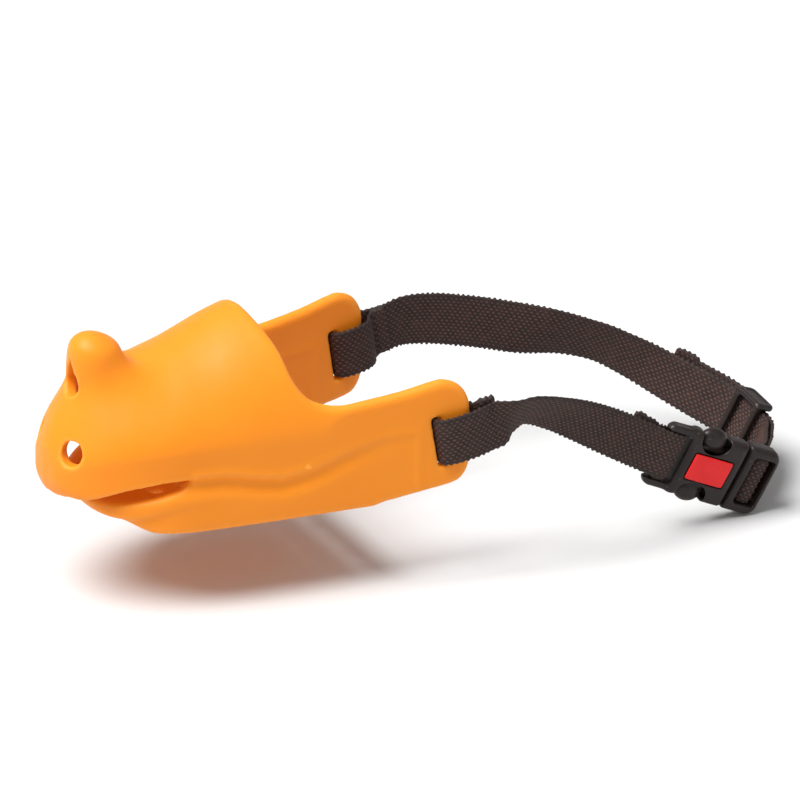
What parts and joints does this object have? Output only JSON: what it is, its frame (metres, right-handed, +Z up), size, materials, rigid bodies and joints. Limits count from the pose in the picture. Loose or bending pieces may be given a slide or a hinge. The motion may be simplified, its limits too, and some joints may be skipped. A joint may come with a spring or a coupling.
{
  "type": "basket muzzle",
  "caption": "Soft one-piece snout muzzle shaped like an animal face, with nose horn, vents, mouth gap and slotted side wings, on a webbing neck strap with side-release buckle and slider.",
  "frame": {"origin": "on the underside of the flat chin floor, on the mid-plane, 41.7 mm behind the front-most point of the nose", "axes": "+X from the nose to the neck, +Y to the wearer's right, +Z up"},
  "size_m": [0.2352, 0.0868, 0.0823],
  "materials": {
    "silicone": "satin moulded silicone, orange",
    "webbing": "plain-woven polyester webbing, dark brown",
    "thread": "bonded thread, dark brown",
    "housing_plastic": "satin moulded acetal, charcoal",
    "plug_plastic": "satin moulded acetal, charcoal",
    "badge": "smooth domed label, red, plain"
  },
  "bodies": {
    "muzzle": {"muzzle_shell": "silicone"},
    "left_strap": {"left_strap_wing_loop": "webbing", "left_wing_stitching": "thread"},
    "socket": {"left_strap_buckle_loop": "webbing", "left_buckle_stitching": "thread", "buckle_socket": "housing_plastic", "buckle_badge": "badge"},
    "right_strap": {"right_strap_wing_loop": "webbing", "right_wing_stitching": "thread"},
    "right_strap_mid": {"right_strap_middle": "webbing"},
    "plug": {"buckle_plug": "plug_plastic", "right_strap_adjustable_end": "webbing", "tail_hem_stitching": "thread"},
    "slider": {"strap_slider": "housing_plastic"},
    "prong_upper": {"plug_prong_upper": "plug_plastic"},
    "prong_lower": {"plug_prong_lower": "plug_plastic"}
  },
  "joints": [
    {"name": "left_strap_swing", "type": "hinge", "parent": "muzzle", "child": "left_strap", "pos_m": [0.0756, -0.0356, 0.0184], "axis": [-0.1478, 0, 0.989], "range_deg": [-8, 8]},
    {"name": "left_strap_flex", "type": "hinge", "parent": "left_strap", "child": "socket", "pos_m": [0.1233, -0.0348, 0.014], "axis": [-0.1478, 0, 0.989], "range_deg": [-8, 8]},
    {"name": "right_strap_swing", "type": "hinge", "parent": "muzzle", "child": "right_strap", "pos_m": [0.0756, 0.0356, 0.0184], "axis": [-0.1478, 0, 0.989], "range_deg": [-8, 8]},
    {"name": "right_strap_flex", "type": "hinge", "parent": "right_strap", "child": "right_strap_mid", "pos_m": [0.1233, 0.0364, 0.014], "axis": [-0.1478, 0, 0.989], "range_deg": [-8, 8]},
    {"name": "buckle_release", "type": "slide", "parent": "right_strap_mid", "child": "plug", "axis": [0.9026, 0, -0.4305], "range_m": [0, 0.022], "deforming": ["plug_prong_upper", "plug_prong_lower"]},
    {"name": "slider_adjust", "type": "slide", "parent": "plug", "child": "slider", "axis": [0.1203, -0.9723, -0.2005], "range_m": [-0.002, 0.002]},
    {"name": "upper_prong_squeeze", "type": "hinge", "parent": "plug", "child": "prong_upper", "pos_m": [0.16843, -0.03781, -0.00598], "axis": [-0.0646, -0.9887, -0.1354], "range_deg": [0, 11]},
    {"name": "lower_prong_squeeze", "type": "hinge", "parent": "plug", "child": "prong_lower", "pos_m": [0.16383, -0.03619, -0.01562], "axis": [-0.0646, -0.9887, -0.1354], "range_deg": [-11, 0]}
  ],
  "couplings": [
    {"joint": "left_strap_flex", "follows": "left_strap_swing", "ratio": -1},
    {"joint": "right_strap_swing", "follows": "left_strap_swing", "ratio": 1},
    {"joint": "right_strap_flex", "follows": "left_strap_swing", "ratio": -1},
    {"joint": "lower_prong_squeeze", "follows": "upper_prong_squeeze", "ratio": -1}
  ]
}
